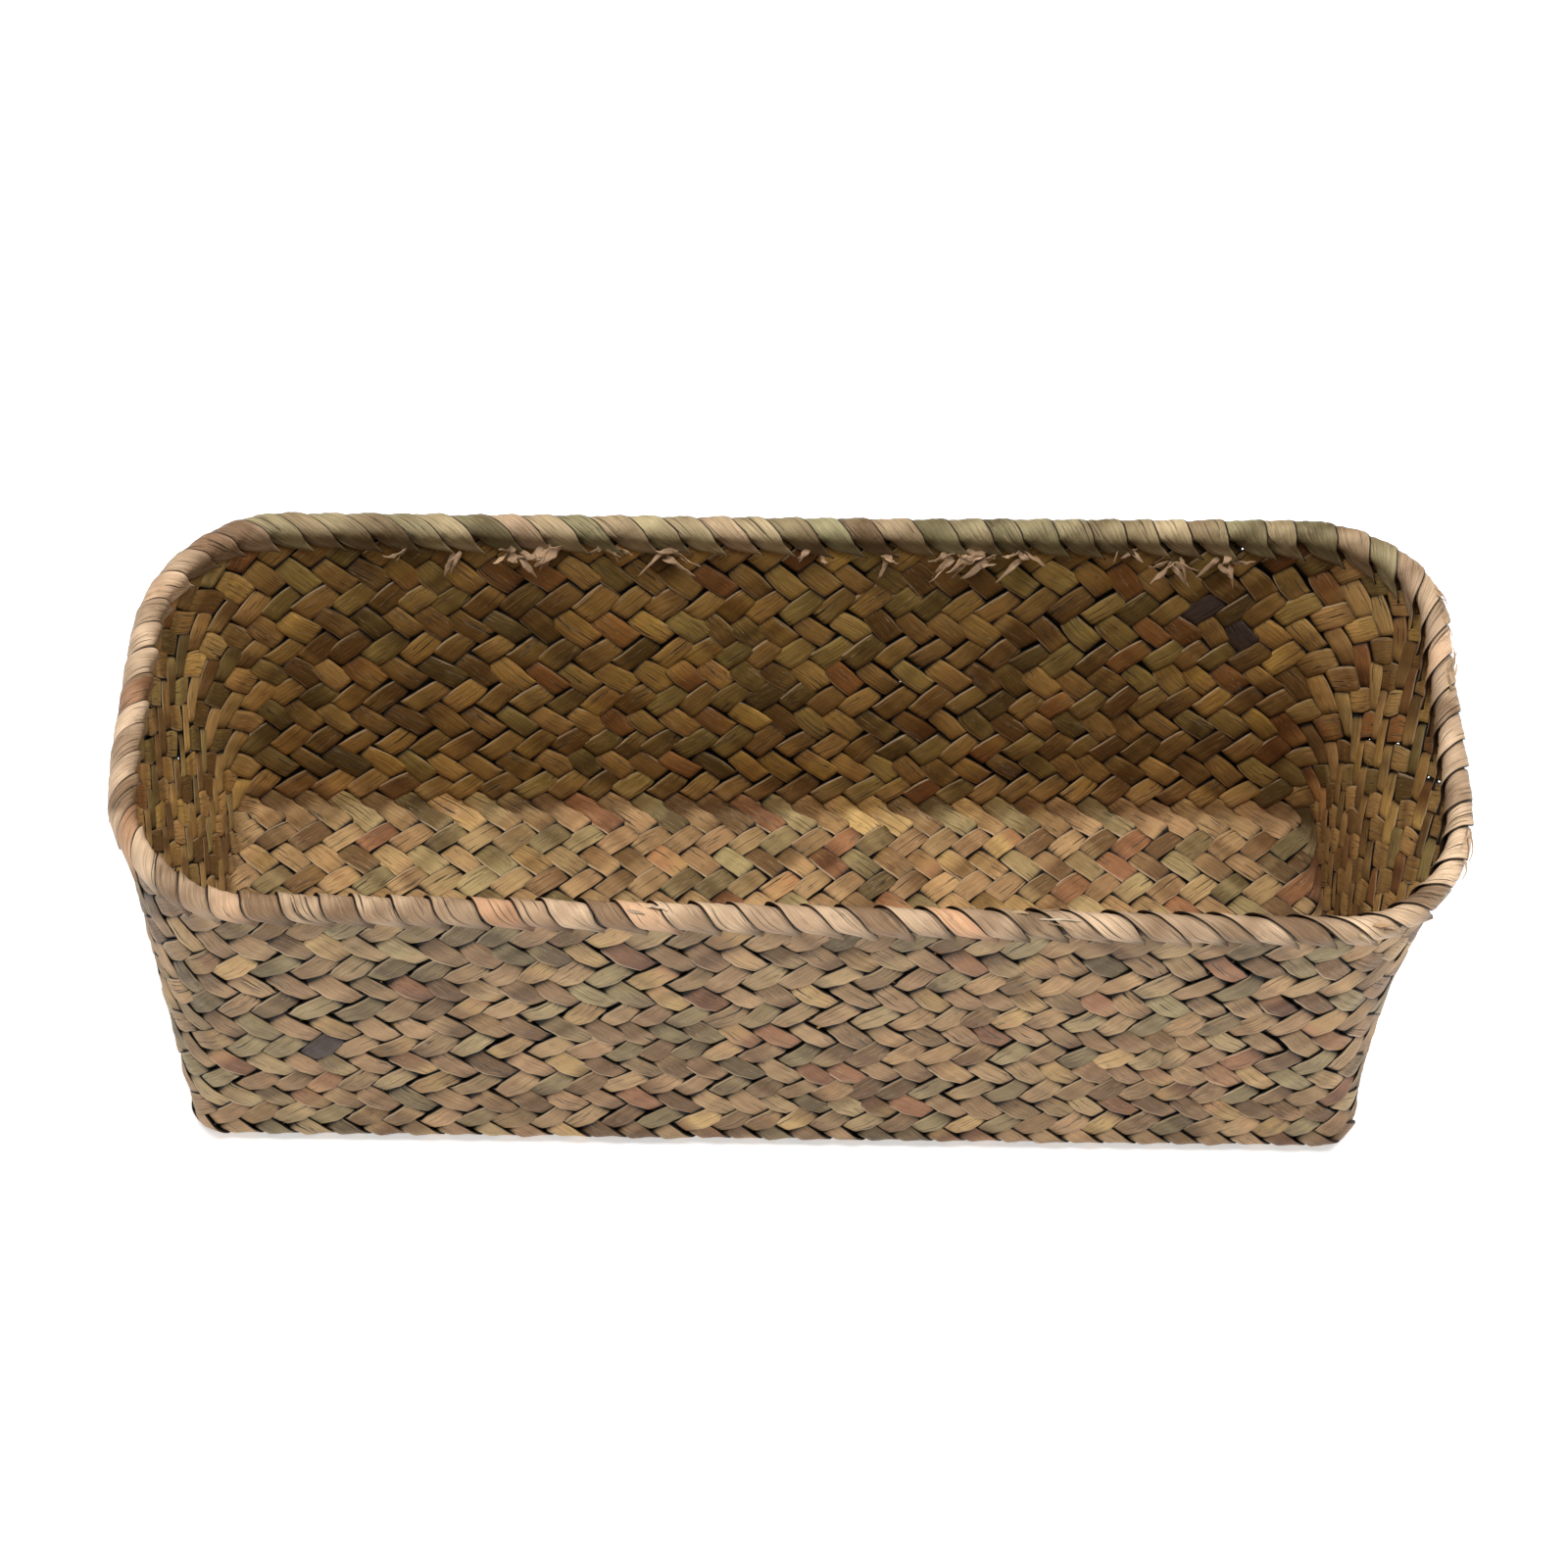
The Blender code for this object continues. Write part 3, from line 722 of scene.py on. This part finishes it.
def build_basket():
    """Every strand of both families, the laps of the ends that rise left, the core and shreds."""
    # Colour of the painted highlights along one edge of each strand and on the lips of cracks.
    pale = srgb(206, 178, 142)
    even = (1.0, 1.0, 1.0)
    # The third colour of each material is painted shade along edges and dips, also used for blotches, fibres
    # and cracks. The plaited grass's tint and 0.60 paint a wall's inner side in darker, browner shade.
    grass = grass_material("plaited_grass", WEAVE_TONES, srgb(14, 9, 5), (1.36, 1.20, 0.66), 0.60, pale, 0.5)
    loose = grass_material("torn_grass", TORN_TONES, srgb(206, 170, 134), even, 1.0, pale, 0.5)
    rim = grass_material("rim_grass", RIM_TONES, srgb(52, 37, 25), even, 1.0, pale, 0.38)
    panels = [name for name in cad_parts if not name.startswith(("rim", "tucked"))]
    groups = {}
    wraps = []
    seed = FIRST_SEED
    for family in (1, -1):
        for c in range(-HALF_FAMILY, HALF_FAMILY + 1):
            seed += SEED_STEP
            points, s, lift, cell, tone, ends = strand(family, c, seed)
            word = "right" if family == 1 else "left"
            name = f"strands_{word}_{(c + HALF_FAMILY) // STRANDS_A_PIECE + 1}"
            grain = seed % STRAND_GRAINS / STRAND_GRAINS
            groups.setdefault(name, []).append((points, s, lift, cell, tone, grain))
            for index, (n, m, rising) in enumerate(ends):
                if rising == -1:
                    top_n = n[0] if index == 0 else n[-1]
                    wraps.append((float(np.mod(top_n, AROUND)), tone, seed + index))
    for name, strands in groups.items():
        piece = grass_mesh(name, strands)
        piece.data.materials.append(grass)
        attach(piece, "root")
        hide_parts(*panels)
    wraps.sort()
    names = ("front", "right", "back", "left")
    limits = (0, LONG, LONG + SHORT, 2 * LONG + SHORT, AROUND)
    for index, word in enumerate(names):
        strands = []
        for n0, tone, tag in wraps:
            if limits[index] <= n0 < limits[index + 1]:
                lap_tone = LAP_TONES[index] + TONE_KEPT * tone
                strands.append((*rim_lap(n0, tag), lap_tone, tag % LAP_GRAINS / LAP_GRAINS))
        piece = grass_mesh(f"rim_wraps_{word}", strands)
        piece.data.materials.append(rim)
        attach(piece, "root")
        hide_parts(*[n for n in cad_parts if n.startswith("rim_wrap")])
    stems = [(*core_stem(i * math.tau / STEMS, STEM_SEED + i), 0.5, i / STEMS) for i in range(STEMS)]
    core = grass_mesh("rim_core_bundle", stems)
    core.data.materials.append(rim)
    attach(core, "root")
    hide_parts("rim_core")
    ends = grass_mesh("loose_shreds", loose_shreds())
    ends.data.materials.append(loose)
    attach(ends, "root")
    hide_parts("tucked_end_1", "tucked_end_2", "tucked_end_3")


def plain(name, colour, roughness):
    """A material of one colour and roughness."""
    made = bpy.data.materials.new(name)
    made.use_nodes = True
    shader = made.node_tree.nodes["Principled BSDF"]
    shader.inputs["Base Color"].default_value = (*colour, 1.0)
    shader.inputs["Roughness"].default_value = roughness
    return made


def soft_light(name, place, aim, size, power):
    """A rectangular light at place that faces aim, its long side level. Metres and watts."""
    data = bpy.data.lights.new(name, "AREA")
    data.shape = "RECTANGLE"
    data.size, data.size_y = size
    data.energy = power
    lamp = bpy.data.objects.new(name, data)
    direction = np.array(aim) - np.array(place)
    back = -direction / np.linalg.norm(direction)
    side = np.cross([0.0, 1.0, 0.001], back)
    side /= np.linalg.norm(side)
    up = np.cross(back, side)
    turn = np.eye(4)
    turn[:3, 0], turn[:3, 1], turn[:3, 2], turn[:3, 3] = side, up, back, place
    lamp.matrix_world = Matrix(turn.tolist())
    bpy.context.scene.collection.objects.link(lamp)


# The studio: the pale floor's half size, its own glow, and the room's and the lights' strengths.
FLOOR_HALF, FLOOR_GLOW = 4, 0.5
ROOM_LIGHT, OVERHEAD_POWER, FRONT_POWER = 0.26, 29.5, 0.15
# The camera: lens and sensor in millimetres, shift, place in metres, and turns in degrees.
LENS, SENSOR, SHIFT_UP = 87.26, 36.0, 0.003
CAMERA_PLACE = (-0.0067, -0.5555, 0.7322)
LOOK_DOWN, LOOK_ASIDE, LEAN_OVER = 50.01, 0.52, 0.95


def build_studio():
    """A pale floor, a soft room, a large light overhead and a faint one in front."""
    mesh = bpy.data.meshes.new("studio_floor")
    corners = [(x * FLOOR_HALF, y * FLOOR_HALF, 0) for x, y in ((-1, -1), (1, -1), (1, 1), (-1, 1))]
    mesh.from_pydata(corners, [], [(0, 1, 2, 3)])
    floor = bpy.data.objects.new("studio_floor", mesh)
    bpy.context.scene.collection.objects.link(floor)
    paper = plain("pale_paper", (0.95, 0.95, 0.95), 0.9)
    paper.node_tree.nodes["Principled BSDF"].inputs["Emission Color"].default_value = (1, 1, 1, 1)
    paper.node_tree.nodes["Principled BSDF"].inputs["Emission Strength"].default_value = FLOOR_GLOW
    mesh.materials.append(paper)
    world = bpy.data.worlds.new("soft_room")
    bpy.context.scene.world = world
    world.use_nodes = True
    world.node_tree.nodes["Background"].inputs[0].default_value = (1, 1, 1, 1)
    world.node_tree.nodes["Background"].inputs[1].default_value = ROOM_LIGHT
    soft_light("overhead", (0.14, -0.14, 1.48), (0.0, 0.0, 0.0), (1.6, 0.7), OVERHEAD_POWER)
    soft_light("front", (0.15, -1.5, 0.36), (0.0, 0.0, 0.05), (1.6, 0.3), FRONT_POWER)
    bpy.context.scene.view_settings.view_transform = "Standard"


def build_camera():
    """A long lens that looks down at the basket from the front."""
    data = bpy.data.cameras.new("camera")
    data.lens = LENS
    data.sensor_width = SENSOR
    data.clip_start = 0.01
    data.shift_y = SHIFT_UP
    camera = bpy.data.objects.new("camera", data)
    pitch, yaw, roll = math.radians(LOOK_DOWN), math.radians(LOOK_ASIDE), math.radians(LEAN_OVER)
    turn = (Matrix.Rotation(-yaw, 4, "Z") @ Matrix.Rotation(math.pi / 2 - pitch, 4, "X")
            @ Matrix.Rotation(roll, 4, "Z"))
    camera.matrix_world = Matrix.Translation(CAMERA_PLACE) @ turn
    bpy.context.scene.collection.objects.link(camera)
    bpy.context.scene.camera = camera


build_camera()
build_studio()
build_basket()
